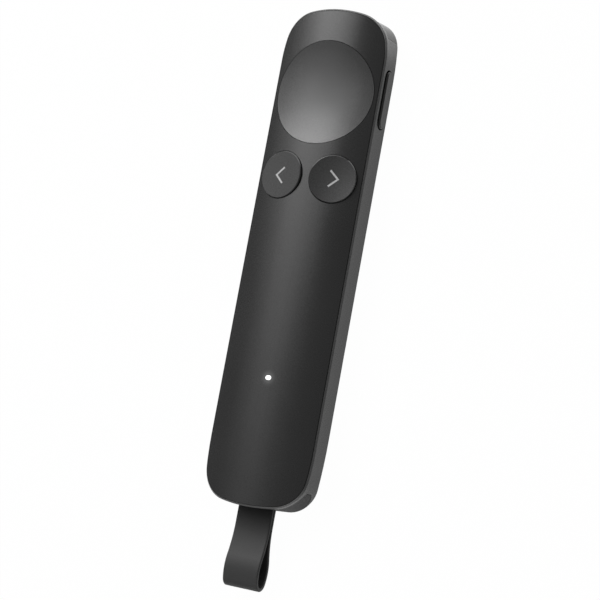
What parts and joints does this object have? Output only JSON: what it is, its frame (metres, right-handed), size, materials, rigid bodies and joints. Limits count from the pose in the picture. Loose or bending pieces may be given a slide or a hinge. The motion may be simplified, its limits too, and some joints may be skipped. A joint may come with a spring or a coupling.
{
  "type": "presentation clicker",
  "caption": "Slim handheld wireless presentation clicker with a dished pointer pad, back and next buttons, a side key, and a pull-out receiver on a rubber strap loop.",
  "frame": {"origin": "centre of the flat back, halfway along and across the body without its strap", "axes": "+Z out of the front face, +Y towards the end with the pointer pad, +X towards the side key"},
  "size_m": [0.0289, 0.1416, 0.0119],
  "materials": {
    "band_plastic": "satin",
    "front_plastic": "satin",
    "rear_plastic": "fine texture",
    "pad_plastic": "satin",
    "key_plastic": "satin",
    "window_plastic": "satin",
    "inner_plastic": "plain",
    "cap_plastic": "satin",
    "strap_rubber": "matte",
    "pin_steel": "drawn",
    "screw_steel": "blackened",
    "stamped_steel": "stamped and plated",
    "board_laminate": "solder mask",
    "chip_resin": "moulded",
    "antenna_ceramic": "fired",
    "cell_foil": "laminated foil",
    "light_plastic": "clear white",
    "laser_brass": "turned",
    "lens_glass": "polished",
    "contact_gold": "plated"
  },
  "bodies": {
    "casing": {"side_band": "band_plastic", "front_cover": "front_plastic", "rear_cover": "rear_plastic", "chassis": "inner_plastic", "main_board": "board_laminate", "board_screws": "screw_steel", "radio_module": "stamped_steel", "antenna": "antenna_ceramic", "power_chip": "chip_resin", "pointer_switch": "stamped_steel", "back_switch": "stamped_steel", "next_switch": "stamped_steel", "side_switch_bracket": "board_laminate", "side_switch": "stamped_steel", "status_led": "light_plastic", "light_pipe": "light_plastic", "battery": "cell_foil", "pad_carrier": "inner_plastic", "end_window": "window_plastic", "laser_module": "laser_brass", "laser_lens": "lens_glass", "charging_socket": "stamped_steel", "receiver_bay": "inner_plastic"},
    "pointer_pad": {"pointer_pad": "pad_plastic"},
    "back_button": {"back_button": "key_plastic"},
    "next_button": {"next_button": "key_plastic"},
    "side_key": {"side_key": "key_plastic"},
    "receiver": {"receiver_cap": "cap_plastic", "receiver_plug": "stamped_steel", "receiver_tongue": "inner_plastic", "receiver_contacts": "contact_gold", "strap_pin": "pin_steel"},
    "strap": {"strap": "strap_rubber"}
  },
  "joints": [
    {"name": "pointer_press", "type": "slide", "parent": "casing", "child": "pointer_pad", "axis": [0, 0, -1], "range_m": [0, 0.0003], "stiffness_N_per_m": 1200, "springref_m": -0.0006},
    {"name": "back_press", "type": "slide", "parent": "casing", "child": "back_button", "axis": [0.2015, 0, -0.9795], "range_m": [0, 0.0003], "stiffness_N_per_m": 1200, "springref_m": -0.0006},
    {"name": "next_press", "type": "slide", "parent": "casing", "child": "next_button", "axis": [-0.2015, 0, -0.9795], "range_m": [0, 0.0003], "stiffness_N_per_m": 1200, "springref_m": -0.0006},
    {"name": "key_press", "type": "slide", "parent": "casing", "child": "side_key", "axis": [-1, 0, 0], "range_m": [0, 0.0003], "stiffness_N_per_m": 1200, "springref_m": -0.0006},
    {"name": "receiver_slide", "type": "slide", "parent": "casing", "child": "receiver", "axis": [0, -1, 0], "range_m": [0, 0.022]},
    {"name": "strap_swing", "type": "hinge", "parent": "receiver", "child": "strap", "pos_m": [0, -0.0571, 0.00445], "axis": [1, 0, 0], "range_deg": [-25, 8], "stiffness_Nm_per_rad": 0.002}
  ]
}
